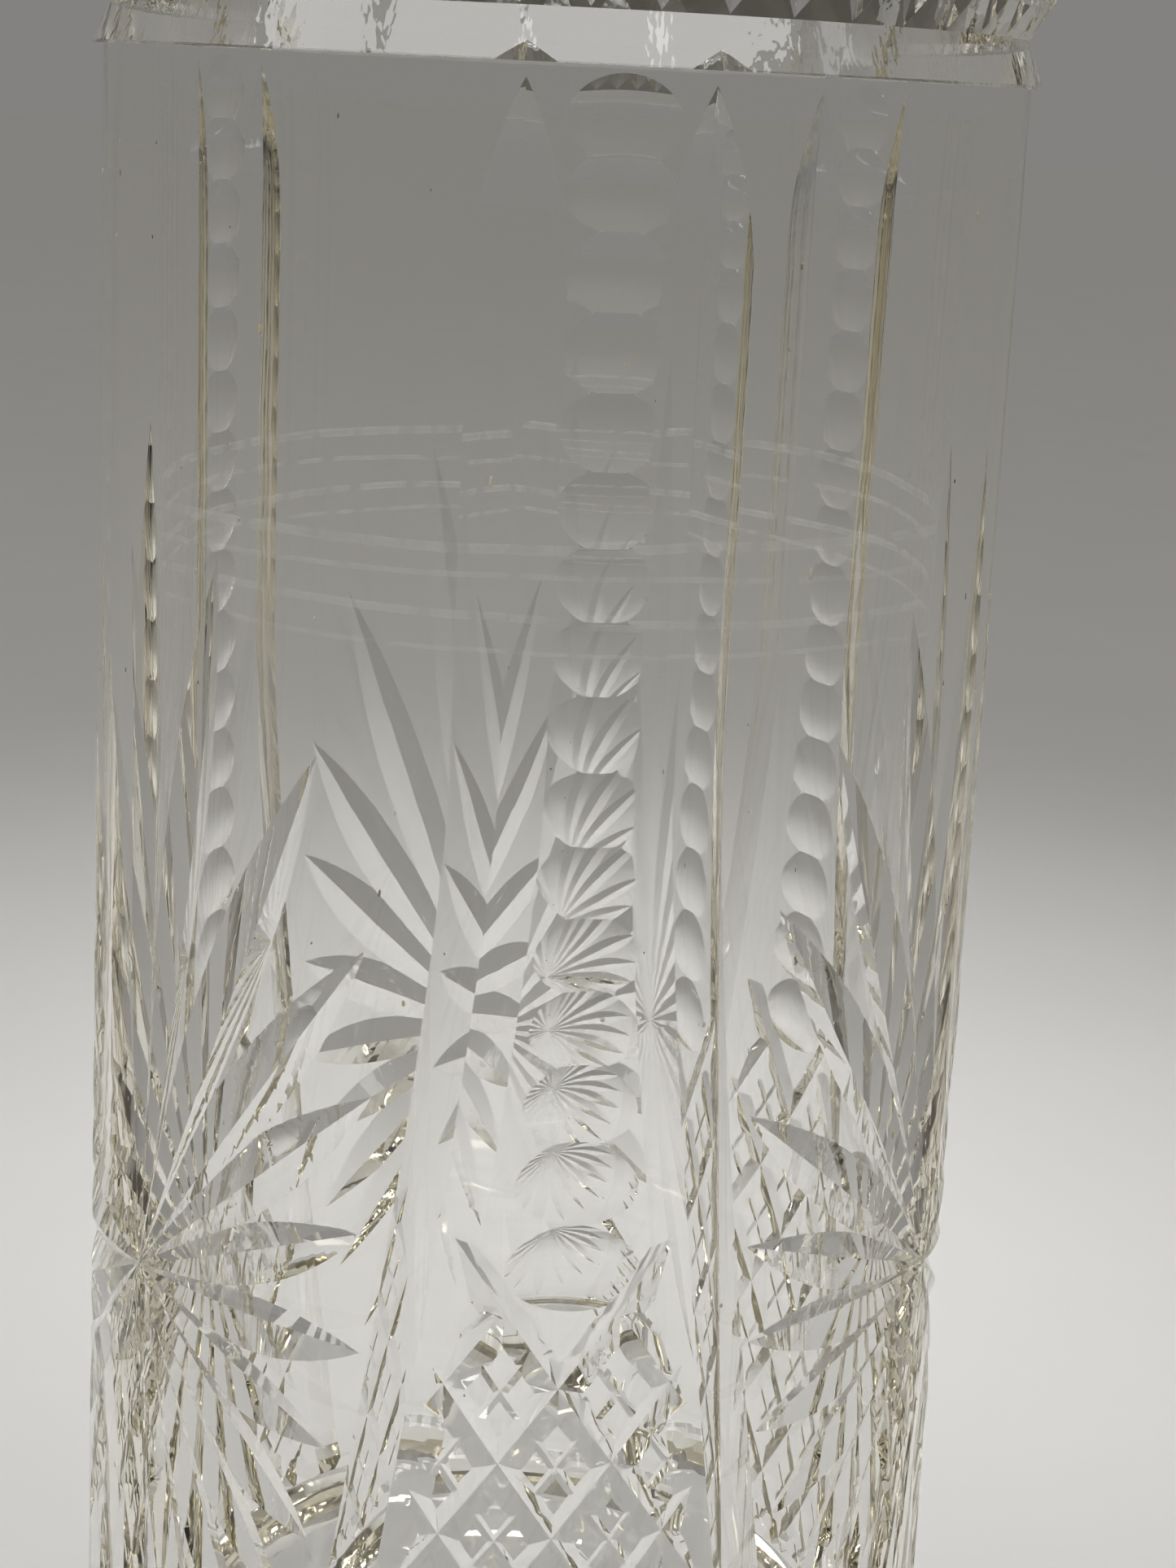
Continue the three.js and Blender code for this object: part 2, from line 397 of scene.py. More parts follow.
@dataclass(frozen=True)
class Thumbprints:
    """A column of oval dishes that just overlap, each with its own place and size, as a hand cuts them.

    Each is the end of an ellipsoid whose middle stands `stand_off` above the dish's deepest point.
    """

    heights: tuple[float, ...] = (
        231.4, 224.2, 216.1, 207.9, 199.7, 191.5, 183.6, 175.8,
        167.6, 159.1, 151.0, 143.0, 134.5, 125.7, 116.3, 105.9,
    )
    widths: tuple[float, ...] = (
        12.3, 11.8, 11.5, 11.0, 10.8, 10.7, 10.9, 11.1,
        11.3, 11.5, 11.6, 11.8, 12.1, 12.6, 13.8, 15.4,
    )
    splays: tuple[float, ...] = (
        -0.3, -0.35, -0.3, -0.1, 0.1, 0.2, 0.35, 0.4,
        0.4, 0.35, 0.3, -0.35, -0.35, -0.4, -0.35, -0.3,
    )
    top_across: float = 0.4
    bottom_across: float = 0.9
    tall: float = 8.8
    tall_bottom: float = 11.0
    deep: float = 0.52
    deep_bottom: float = 1.15
    growth: float = 3.0
    deepening: float = 8.0
    stand_off: float = 8.0
    clear: float = 2.6
    sides: int = 48
    rings: int = 10
    near: float = 0.12
    facing: float = 0.97
    narrowest: float = 0.1

    def prints(self) -> list[Print]:
        """List the dishes from the top down: they lean to the right and grow towards the bottom.

        Returns:
            The dishes.
        """
        share = np.linspace(0.0, 1.0, len(self.heights))
        grown, deeper = share**self.growth, share**self.deepening
        return [
            Print(
                self.top_across + (self.bottom_across - self.top_across) * share[i],
                z,
                self.widths[i],
                self.tall + (self.tall_bottom - self.tall) * grown[i],
                self.deep + (self.deep_bottom - self.deep) * deeper[i],
                self.splays[i],
            )
            for i, z in enumerate(self.heights)
        ]

    def axes(self, skin: Skin, dish: Print) -> Array:
        """Work out the ellipsoid's half axes: across, outwards and up.

        A shallow dish of depth d and half width w has a curvature of 2 d / w^2, and across the body the
        skin's own curvature is part of it.

        Args:
            skin: The surface that the dish lies on.
            dish: The dish.

        Returns:
            The three half axes.
        """
        across = 8.0 * dish.deep / dish.wide**2 - 1.0 / skin.top_radius
        up = 8.0 * dish.deep / dish.tall**2
        return np.sqrt(self.stand_off / np.array([across, 1.0 / self.stand_off, up]))

    def widening(self, dish: Print, rise: Array) -> Array:
        """How much wider the dish is at a height above its middle than at its middle."""
        return 1.0 + dish.splay * rise / (0.5 * dish.tall)

    def centre(self, skin: Skin, dish: Print) -> Array:
        """The ellipsoid's middle, in a frame whose first axis points outwards at the dish's own angle."""
        return np.array([float(skin.radius(dish.z)) - dish.deep + self.stand_off, 0.0, dish.z])

    def cutter(self, skin: Skin, dish: Print) -> Surface:
        """Shape the end of an ellipsoid, P(u, v) = middle + (a sin v cos u, -c cos v, b sin v sin u).

        Its width then grows or shrinks with height, and it's flat where it would reach the band, which the
        wheel leaves whole.

        Args:
            skin: The surface that the dish lies on.
            dish: The dish.

        Returns:
            The closed cutter.
        """
        wide, out, up = self.axes(skin, dish)
        reach = math.acos(1.0 - (dish.deep + self.clear) / out)
        ring = np.linspace(0.0, reach, self.rings)
        profile = np.stack([np.sin(ring), -np.cos(ring)], -1)
        profile = np.concatenate([profile, [[0.0, profile[-1, 1]]]])
        cap = revolve(profile, self.sides)
        middle = self.centre(skin, dish)
        laid = np.stack([wide * cap.points[:, 0], -out * cap.points[:, 2], up * cap.points[:, 1]], -1)
        laid[:, 0] *= self.widening(dish, laid[:, 2])
        laid += np.array([0.0, -middle[0], middle[2]])
        laid[:, 2] = np.minimum(laid[:, 2], skin.top)
        return Surface(laid, cap.faces).turned(math.degrees(dish.across / skin.top_radius))

    def cutters(self, blank: Blank) -> list[Surface]:
        """Each print as a cutter of three copies, one a column."""
        return [self.cutter(blank.skin, dish).repeated(REPEATS) for dish in self.prints()]

    def normals(self, skin: Skin, points: Array, flat: Array) -> tuple[Array, Array]:
        """Work out the dishes' exact normals: the widened ellipsoid's gradient, pointing into the air.

        Args:
            skin: The surface that the dishes lie on.
            points: (faces, 3, 3) corners in millimetres.
            flat: (faces, 3) flat normals.

        Returns:
            Which faces lie on a dish, and (faces, 3, 3) normals at their corners.
        """
        on_dish = np.zeros(len(points), dtype=bool)
        exact = np.repeat(flat[:, None, :], 3, axis=1)
        for dish in self.prints():
            axes = self.axes(skin, dish)[[1, 0, 2]]
            for column in range(REPEATS):
                turn = dish.across / skin.top_radius + 2.0 * math.pi * column / REPEATS
                out = [math.sin(turn), -math.cos(turn), 0.0]
                frame_axes = np.array([out, [math.cos(turn), math.sin(turn), 0.0], [0.0, 0.0, 1.0]])
                local = points @ frame_axes.T - self.centre(skin, dish)
                wider = np.maximum(self.widening(dish, local[..., 2]), self.narrowest)
                local[..., 1] /= wider
                local /= axes
                away = np.linalg.norm(local, axis=-1)
                slope = local / axes
                slope[..., 2] -= local[..., 1] ** 2 * dish.splay / (0.5 * dish.tall) / wider
                slope[..., 1] /= wider
                inwards = -slope @ frame_axes
                inwards /= np.maximum(np.linalg.norm(inwards, axis=-1, keepdims=True), TINY)
                mask = (np.abs(away - 1.0) * self.stand_off < self.near).all(axis=1)
                mask &= np.einsum("fk,fk->f", flat, inwards.mean(axis=1)) > self.facing
                exact[mask] = inwards[mask]
                on_dish |= mask
        return on_dish, exact


@dataclass(frozen=True)
class Star:
    """Pointed rays from one centre, half a repeat round from each column.

    Each row is (angle above the horizontal, length, width) of a ray. The right and left halves differ a
    little, as they do on hand-cut glass.
    """

    height: float = 93.2
    slope: float = 0.45
    widest_at: float = 0.6
    skim: float = 0.02
    right: tuple[tuple[float, float, float], ...] = (
        (81.5, 90.7, 6.6), (68.3, 74.8, 7.0), (54.7, 59.0, 7.2), (41.4, 47.2, 7.4), (22.8, 37.9, 7.2),
        (-0.2, 35.0, 7.2), (-22.8, 33.9, 7.0), (-41.3, 39.0, 7.4), (-54.0, 45.0, 6.0), (-66.0, 52.0, 6.0),
        (-78.0, 60.0, 6.0),
    )
    left: tuple[tuple[float, float, float], ...] = (
        (78.8, 87.8, 6.6), (68.7, 77.6, 7.0), (57.0, 64.0, 7.2), (38.4, 47.4, 7.4), (20.0, 38.6, 7.2),
        (1.7, 35.5, 7.2), (-18.2, 35.3, 7.0), (-37.0, 38.0, 7.4), (-53.0, 45.0, 6.0), (-66.0, 52.0, 6.0),
        (-78.0, 60.0, 6.0),
    )
    upright: tuple[tuple[float, float, float], ...] = ((90.0, 103.0, 6.4), (-90.0, 70.0, 6.0))
    stations: int = 25

    def ray(self, skin: Skin, angle: float, length: float, width: float, side: float) -> Surface:
        """Sweep one ray: a V whose depth falls from its widest place to nothing at both ends as a square.

        Args:
            skin: The surface that the ray lies on.
            angle: Its angle above the horizontal, in degrees.
            length: Its length.
            width: Its width at the widest place.
            side: 1 for a ray to the right and -1 for one to the left.

        Returns:
            The closed cutter.
        """
        t = np.linspace(0.0, 1.0, self.stations)
        inner, outer = 1.0 - t / self.widest_at, (t - self.widest_at) / (1.0 - self.widest_at)
        away = np.where(t < self.widest_at, inner, outer)
        depth = 0.5 * width * self.slope * (1.0 - away**2) - self.skim
        middle = math.pi / REPEATS * skin.top_radius
        turn = math.radians(angle)
        across = middle + side * t * length * math.cos(turn)
        return VWheel(self.slope).sweep(skin, across, self.height + t * length * math.sin(turn), depth)

    def cutters(self, blank: Blank) -> list[Surface]:
        """Sweep each ray as a cutter of three copies, one a star.

        Args:
            blank: The glass to cut.

        Returns:
            The cutters.
        """
        rays = [self.ray(blank.skin, *row, 1.0) for row in self.right + self.upright]
        rays += [self.ray(blank.skin, *row, -1.0) for row in self.left]
        return [ray.repeated(REPEATS) for ray in rays]


@dataclass(frozen=True)
class Lattice:
    """Diamonds between a pair of grooves: broad slanting V cuts, with one fine cut between each two."""

    top: float = 90.3
    width: float = 13.1
    height: float = 19.1
    broad: float = 4.0
    fine: float = 1.1
    slope: float = 0.5
    foot: float = 20.0
    step: float = 0.5
    span: float = 3.0
    widest: float = 60.0

    def line(self, grooves: Grooves, row: float) -> tuple[Array, Array]:
        """The stations of one slanting cut, z = level + steep * across, from groove to groove.

        Args:
            grooves: The pair that the lattice lies between.
            row: Which cut, counted down from the topmost; halves are the fine cuts.

        Returns:
            The stations' distances round the body and heights.
        """
        steep = self.height / self.width
        level = self.top - self.height * row
        span = np.arange(-self.widest, self.widest, self.step)
        z = level + steep * span
        inside = (np.abs(span) < grooves.across(z)) & (z > self.foot)
        if row < 0.0:
            inside &= span < 0.5 * self.width * row
        reach = span[inside]
        count = max(int((reach[-1] - reach[0]) / self.span), 2)
        across = np.linspace(reach[-1], reach[0], count)
        return across, level + steep * across

    def cutters(self, blank: Blank, grooves: Grooves) -> list[Surface]:
        """Sweep every cut of both families, broad and fine, as a cutter of three copies.

        Args:
            blank: The glass to cut.
            grooves: The grooves that the lattice lies between.

        Returns:
            The cutters.
        """
        steep = self.height / self.width
        lowest = self.foot - steep * float(grooves.across(np.array(self.foot)))
        rows = int(math.ceil((self.top - lowest) / self.height))
        made = []
        for half_row in range(-2, 2 * rows - 1):
            width = self.broad if half_row % 2 == 0 else self.fine
            across, z = self.line(grooves, 0.5 * half_row)
            depth = np.full_like(z, 0.5 * width * self.slope)
            cut = VWheel(self.slope).sweep(blank.skin, across, z, depth)
            made += [cut.repeated(REPEATS), cut.mirrored().repeated(REPEATS)]
        return made


@dataclass(frozen=True)
class FootMitre:
    """The V mitre round the body that ends the pattern above the plain foot."""

    height: float = 20.0
    width: float = 4.0
    slope: float = 0.45

    def cutters(self, blank: Blank) -> list[Surface]:
        """Turn one ring with a triangular section.

        Args:
            blank: The glass to cut.

        Returns:
            The ring, as the only cutter.
        """
        half = 0.5 * self.width
        skin = float(blank.skin.radius(self.height))
        mouth = half + CLEAR / self.slope
        section = np.array(
            [
                [skin + CLEAR, self.height - mouth],
                [skin + CLEAR, self.height + mouth],
                [skin - half * self.slope, self.height],
                [skin + CLEAR, self.height - mouth],
            ]
        )
        return [revolve(section, blank.sides)]


@dataclass(frozen=True)
class LipNotches:
    """The upright V notches that make the lip's outside a row of teeth."""

    count: int = 48
    depth: float = 1.8
    slope: float = 0.56
    skim: float = 0.04

    def cutters(self, blank: Blank) -> list[Surface]:
        """Sweep the notches, every other one in each of two cutters so that no two touch.

        Args:
            blank: The glass to cut.

        Returns:
            The two cutters.
        """
        z = np.array([blank.lip_bottom, blank.height + CLEAR])
        depth = np.array([blank.valley_inset - self.skim, self.depth - blank.lip_overhang])
        wheel = VWheel(self.slope, blank.lip_overhang + CLEAR)
        notch = wheel.sweep(blank.skin, np.zeros(2), z, depth)
        pitch = 360.0 / self.count
        return [notch.repeated(self.count // 2, pitch * (i + 0.5)) for i in range(2)]


@dataclass(frozen=True)
class DriedWaterRings:
    """Faint tide lines on the bore's wall, where water once stood and dried."""

    heights: tuple[float, ...] = (186.4, 182.6, 178.2, 174.9)
    widths: tuple[float, ...] = (1.1, 0.6, 0.9, 0.5)
    sway: float = 0.55
    waves: tuple[tuple[float, float, float], ...] = ((1.0, 1.0, 1.0), (0.5, 3.0, 2.0), (0.2, 7.0, 1.0))
    gap: float = 0.01
    thickness: float = 0.02
    steps: int = 360

    def ring(self, blank: Blank, index: int) -> Surface:
        """Lay one band round the bore, P(u, v) = (r(v) sin u, -r(v) cos u, z(v) + a sum of slow sines of u).

        Args:
            blank: The glass that the band lies in.
            index: Which ring, counted from the top.

        Returns:
            The closed band.
        """
        half, outer = 0.5 * self.widths[index], blank.bore_radius - self.gap
        inner = outer - self.thickness
        section = np.array([[inner, -half], [outer, -half], [outer, half], [inner, half], [inner, -half]])
        band = revolve(section, self.steps)
        angle = np.arctan2(band.points[:, 0], -band.points[:, 1])
        sway = sum(size * np.sin(turns * angle + shift * index) for size, turns, shift in self.waves)
        lift = self.heights[index] + self.sway * sway
        return Surface(band.points + np.stack([0.0 * lift, 0.0 * lift, lift], -1), band.faces)

    def build(self, blank: Blank) -> bpy.types.Object:
        """Make all the rings as one piece."""
        return mesh_object("dried_water_rings", joined(self.ring(blank, i) for i in range(len(self.heights))))

    def dress(self, piece: bpy.types.Object) -> None:
        """Finish the rings in the scale that hard water leaves, with its painted glow."""
        finished(piece, LimescaleAndPaintedGlow())


@dataclass(frozen=True)
class DustFlecks:
    """Flecks of dust and lint that lie on the glass's outside, scattered by a fixed seed."""

    count: int = 90
    seed: int = 7
    smallest: float = 0.10
    largest: float = 0.28
    longest: float = 2.6
    flatness: float = 0.35
    lowest: float = 30.0
    below_band: float = 4.0
    sides: int = 8
    rings: int = 6

    def build(self, blank: Blank) -> bpy.types.Object:
        """Lay flattened balls on the skin, P(u, v) = place + size (sin v cos u, sin v sin u, cos v).

        Args:
            blank: The glass that the flecks lie on.

        Returns:
            All the flecks as one piece.
        """
        rng = np.random.default_rng(self.seed)
        v = np.linspace(0.0, math.pi, self.rings)
        ball = revolve(np.stack([np.sin(v), -np.cos(v)], -1), self.sides)
        across = rng.uniform(-math.pi, math.pi, self.count) * blank.skin.top_radius
        z = rng.uniform(self.lowest, blank.skin.top - self.below_band, self.count)
        size = rng.uniform(self.smallest, self.largest, self.count)
        long = rng.uniform(1.0, self.longest, self.count)
        flecks = []
        for i in range(self.count):
            turn = math.degrees(across[i] / blank.skin.top_radius)
            flat = ball.points * size[i] * np.array([1.0, self.flatness, long[i]])
            place = np.array([0.0, -float(blank.skin.radius(z[i])), z[i]])
            flecks.append(Surface(flat + place, ball.faces).turned(turn))
        return mesh_object("dust_flecks", joined(flecks))

    def dress(self, piece: bpy.types.Object) -> None:
        """Finish the flecks in house dust."""
        finished(piece, Dust())


def carve(name: str, blank: Surface, cutters: Sequence[Surface]) -> bpy.types.Object:
    """Take every cutter out of the blank in turn and keep the result as one plain mesh.

    Args:
        name: The finished piece's name.
        blank: The glass before it is cut.
        cutters: Closed surfaces, each with no overlap inside itself.

    Returns:
        The finished object, at the origin.
    """
    piece = mesh_object(name, blank)
    tools = [mesh_object(f"cutter_{i}", cutter) for i, cutter in enumerate(cutters)]
    for tool in tools:
        cut = piece.modifiers.new(tool.name, "BOOLEAN")
        cut.operation = "DIFFERENCE"
        cut.solver = "MANIFOLD"
        cut.object = tool
    piece.modifiers.new("triangles", "TRIANGULATE")
    graph = bpy.context.evaluated_depsgraph_get()
    mesh = bpy.data.meshes.new_from_object(piece.evaluated_get(graph))
    piece.modifiers.clear()
    old, piece.data = piece.data, mesh
    bpy.data.meshes.remove(old)
    mesh.name = name
    mesh.materials.clear()
    for tool in tools:
        data = tool.data
        bpy.data.objects.remove(tool)
        bpy.data.meshes.remove(data)
    return piece


class Zone(Enum):
    """How a face of the finished glass was worked, kept on it as how strong its ripple is."""

    CUT = 0.0
    POLISHED = 0.5
    RIM = 1.0


@dataclass
class CutGlassVase:
    """The whole vase: the blank and every cut, joined into one piece of glass."""

    blank: Blank = field(default_factory=Blank)
    grooves: Grooves = field(default_factory=Grooves)
    prints: Thumbprints = field(default_factory=Thumbprints)
    star: Star = field(default_factory=Star)
    lattice: Lattice = field(default_factory=Lattice)
    mitre: FootMitre = field(default_factory=FootMitre)
    notches: LipNotches = field(default_factory=LipNotches)
    crisp_degrees: float = 10.0
    near: float = 0.02
    facing: float = 0.98
    band_facing: float = 0.8

    def build(self) -> bpy.types.Object:
        """Cut the blank, then give each turned or ground surface its true normals.

        Returns:
            The finished glass.
        """
        cutters: list[Surface] = []
        for part in (self.grooves, self.prints, self.star):
            cutters += part.cutters(self.blank)
        cutters += self.lattice.cutters(self.blank, self.grooves)
        cutters += self.mitre.cutters(self.blank) + self.notches.cutters(self.blank)
        piece = carve("cut_crystal_vase", self.blank.surface(), cutters)
        log.info("carved with %d cutters: %d faces", len(cutters), len(piece.data.polygons))
        self.smooth(piece.data)
        return piece

    def dress(self, piece: bpy.types.Object) -> None:
        """Put the glass in the place of the part's body, finish it, and let light through to the floor.

        Args:
            piece: The finished glass.
        """
        piece.visible_shadow = False
        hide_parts(NODE)
        finished(piece, LeadCrystal())

    def true_normals(self, points: Array, normals: Array, z_middle: Array) -> tuple[Array, Array]:
        """Work out the exact normals of the turned surfaces and the thumbprints.

        A turned surface's normal is the radial direction tilted by its profile's slope.

        Args:
            points: (faces, 3, 3) corners in millimetres.
            normals: (faces, 3) flat normals.
            z_middle: (faces,) the height of each face's middle.

        Returns:
            Which faces are covered, and (faces, 3, 3) normals at their corners.
        """
        blank, skin = self.blank, self.blank.skin
        radius = np.hypot(points[..., 0], points[..., 1])
        outwards = np.stack([points[..., 0], points[..., 1], np.zeros_like(radius)], -1)
        outwards /= np.maximum(radius, TINY)[..., None]
        exact = np.repeat(normals[:, None, :], 3, axis=1)
        covered = np.zeros(len(points), dtype=bool)

        def cover(mask: Array, tilt: float, sign: float = 1.0) -> None:
            """Give some faces the radial normal, tilted.

            Args:
                mask: Which faces.
                tilt: How much the normal rises for each unit outwards.
                sign: 1 for a surface that faces out and -1 for one that faces the axis.
            """
            made = sign * outwards[mask] + np.array([0.0, 0.0, tilt])
            exact[mask] = made / np.linalg.norm(made, axis=-1, keepdims=True)
            covered[mask] = True

        radial = np.einsum("fk,fk->f", normals, outwards.mean(axis=1))
        on_skin = (np.abs(radius - skin.radius(points[..., 2])) < self.near).all(axis=1)
        cover(on_skin & (z_middle < skin.top) & (radial > self.facing), skin.foot_flare / skin.top)
        bore = (np.abs(radius - blank.bore_radius) < self.near).all(axis=1)
        cover(bore & (radial < -self.facing), 0.0, -1.0)
        band_drop = (blank.band_proud + blank.valley_inset) / blank.band_height
        band_radius = skin.top_radius + blank.band_proud - band_drop * (points[..., 2] - skin.top)
        on_band = (np.abs(band_radius - radius) < self.near).all(axis=1)
        cover(on_band & (radial > self.band_facing), band_drop)
        on_dish, dish_normals = self.prints.normals(skin, points, normals)
        exact[on_dish] = dish_normals[on_dish]
        covered |= on_dish
        return covered, exact

    def smooth(self, mesh: bpy.types.Mesh) -> None:
        """Shade the glass smooth and crisp at every arris, with true normals, and mark each face's zone.

        Args:
            mesh: The carved glass, all triangles.
        """
        mesh.shade_smooth()
        mesh.set_sharp_from_angle(angle=math.radians(self.crisp_degrees))
        count = len(mesh.polygons)
        points = np.empty(3 * len(mesh.vertices), dtype=np.float32)
        mesh.vertices.foreach_get("co", points)
        loops = np.empty(len(mesh.loops), dtype=np.int32)
        mesh.loops.foreach_get("vertex_index", loops)
        totals = np.empty(count, dtype=np.int32)
        mesh.polygons.foreach_get("loop_total", totals)
        if not (totals == 3).all():
            raise ValueError("the carved glass isn't all triangles")
        corners = points.reshape(-1, 3)[loops].reshape(count, 3, 3).astype(np.float64) / MM
        shaded = np.empty(3 * len(loops), dtype=np.float32)
        mesh.corner_normals.foreach_get("vector", shaded)
        shaded = shaded.reshape(count, 3, 3).astype(np.float64)
        flat = np.cross(corners[:, 1] - corners[:, 0], corners[:, 2] - corners[:, 0])
        flat /= np.maximum(np.linalg.norm(flat, axis=1, keepdims=True), TINY)
        z_middle = corners[..., 2].mean(axis=1)
        covered, exact = self.true_normals(corners, flat, z_middle)
        shaded[covered] = exact[covered]
        zone = np.full(count, Zone.CUT.value, dtype=np.float32)
        zone[covered] = Zone.POLISHED.value
        zone[z_middle > self.blank.skin.top] = Zone.RIM.value
        mesh.attributes.new("worked", "FLOAT", "FACE").data.foreach_set("value", zone)
        mesh.normals_split_custom_set(shaded.reshape(-1, 3).tolist())
        log.info("true normals on %d of %d faces", int(covered.sum()), count)


# ---------------------------------------------------------------- finishes


def srgb(code: str) -> tuple[float, float, float, float]:
    """Turn a hex sRGB colour to linear RGBA.

    Args:
        code: The colour as #RRGGBB.

    Returns:
        Its linear red, green and blue, and 1.
    """
    parts = np.array([int(code[i : i + 2], 16) / 255.0 for i in (1, 3, 5)])
    linear = np.where(parts <= 0.04045, parts / 12.92, ((parts + 0.055) / 1.055) ** 2.4)
    return (float(linear[0]), float(linear[1]), float(linear[2]), 1.0)


def add(
    tree: bpy.types.NodeTree,
    kind: str,
    settings: dict[str, Any] | None = None,
    links: dict[str, Any] | None = None,
) -> bpy.types.Node:
    """Add one node with its settings and its incoming links.

    Args:
        tree: The node tree.
        kind: The node's type name.
        settings: Attribute names, or input names, and their values.
        links: Input names, or indices, and the output sockets that feed them.

    Returns:
        The new node.
    """
    node = tree.nodes.new(kind)
    for name, value in (settings or {}).items():
        if isinstance(name, int) or name in node.inputs:
            node.inputs[name].default_value = value
        else:
            setattr(node, name, value)
    for name, socket in (links or {}).items():
        tree.links.new(socket, node.inputs[name])
    return node


def set_stops(ramp: bpy.types.ColorRamp, stops: Sequence[tuple[float, str]]) -> None:
    """Give a new colour ramp its stops.

    Args:
        ramp: The ramp, with its first two stops still in place.
        stops: Positions from low to high, and hex colours.
    """
    elements = ramp.elements
    for i, (position, colour) in enumerate(stops):
        stop = elements[i] if i < 2 else elements.new(position)
        stop.position, stop.color = position, srgb(colour)


def blank_material(name: str) -> bpy.types.Material:
    """Make a material with an empty node tree.

    Args:
        name: What it is of.

    Returns:
        The material.
    """
    made = bpy.data.materials.new(name)
    made.use_nodes = True
    made.node_tree.nodes.clear()
    return made


class Finish(Protocol):
    """What a piece is finished in."""

    name: str

    def material(self) -> bpy.types.Material:
        """Make the finish's material."""


def finished(piece: bpy.types.Object, finish: Finish) -> None:
    """Give a piece its material and its body, and report it.

    Args:
        piece: The piece.
        finish: What it is finished in.
    """
    piece.data.materials.append(finish.material())
    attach(piece, BODY)
    log.info("%s in %s: %d faces", piece.name, finish.name, len(piece.data.polygons))


@dataclass(frozen=True)
class LeadCrystal:
    """Lead crystal, blown, ground and acid-polished: clear, heavy and bright, with a faint warm cast.

    The cast is the glass's own, so it shows only where light has gone a long way inside. The ripple is what
    grinding and polishing leave: low waves a few millimetres long, seen only in reflections, least in the
    cuts and strongest round the fire-polished rim. Handling leaves a thin film that dulls soft patches.
    """

    name: str = "lead_crystal"
    ior: float = 1.545
    colour: str = "#FFFFFF"
    tint: str = "#F3EDD2"
    density: float = 7.0
    body_ripple_mm: float = 9.0
    body_ripple_depth: float = 0.012
    rim_ripple_mm: float = 1.6
    rim_ripple_depth: float = 0.05
    rim_stretch: float = 0.25
    film_mm: float = 18.0
    film_between: tuple[float, float] = (0.45, 0.75)
    film: float = 0.03

    def material(self) -> bpy.types.Material:
        """Make the node material, one for the whole piece so that its inside is one volume.

        Returns:
            The material.
        """
        made = blank_material(self.name)
        tree = made.node_tree
        place = add(tree, "ShaderNodeTexCoord")
        worked = add(tree, "ShaderNodeAttribute", {"attribute_name": "worked", "attribute_type": "GEOMETRY"})
        body = add(
            tree,
            "ShaderNodeTexNoise",
            {"Scale": 1.0 / (self.body_ripple_mm * MM), "Detail": 1.0, "Roughness": 0.5},
            {"Vector": place.outputs["Object"]},
        )
        upright = add(
            tree,
            "ShaderNodeMapping",
            {"Scale": (1.0, 1.0, self.rim_stretch)},
            {"Vector": place.outputs["Object"]},
        )
        rim = add(
            tree,
            "ShaderNodeTexNoise",
            {"Scale": 1.0 / (self.rim_ripple_mm * MM), "Detail": 2.0, "Roughness": 0.5},
            {"Vector": upright.outputs["Vector"]},
        )
        above_body = 0.5 * (Zone.POLISHED.value + Zone.RIM.value)
        above_cut = 0.5 * (Zone.CUT.value + Zone.POLISHED.value)
        on_rim, on_body = (
            add(tree, "ShaderNodeMath", {"operation": "GREATER_THAN", 1: limit}, {0: worked.outputs["Fac"]})
            for limit in (above_body, above_cut)
        )
        body_bump = add(
            tree,
            "ShaderNodeBump",
            {"Distance": self.body_ripple_depth * MM},
            {"Height": body.outputs["Fac"], "Strength": on_body.outputs["Value"]},
        )
        rim_bump = add(
            tree,
            "ShaderNodeBump",
            {"Distance": self.rim_ripple_depth * MM},
            {
                "Height": rim.outputs["Fac"],
                "Strength": on_rim.outputs["Value"],
                "Normal": body_bump.outputs["Normal"],
            },
        )
        film = add(
            tree,
            "ShaderNodeTexNoise",
            {"Scale": 1.0 / (self.film_mm * MM), "Detail": 5.0, "Roughness": 0.6},
            {"Vector": place.outputs["Object"]},
        )
        rough = add(
            tree,
            "ShaderNodeMapRange",
            {
                "From Min": self.film_between[0],
                "From Max": self.film_between[1],
                "To Min": 0.0,
                "To Max": self.film,
            },
            {"Value": film.outputs["Fac"]},
        )
        glass = add(
            tree,
            "ShaderNodeBsdfPrincipled",
            {"Base Color": srgb(self.colour), "IOR": self.ior, "Transmission Weight": 1.0, "Metallic": 0.0},
            {"Roughness": rough.outputs["Result"], "Normal": rim_bump.outputs["Normal"]},
        )
        depth = add(tree, "ShaderNodeVolumeAbsorption", {"Color": srgb(self.tint), "Density": self.density})
        add(
            tree,
            "ShaderNodeOutputMaterial",
            links={"Surface": glass.outputs["BSDF"], "Volume": depth.outputs["Volume"]},
        )
        return made


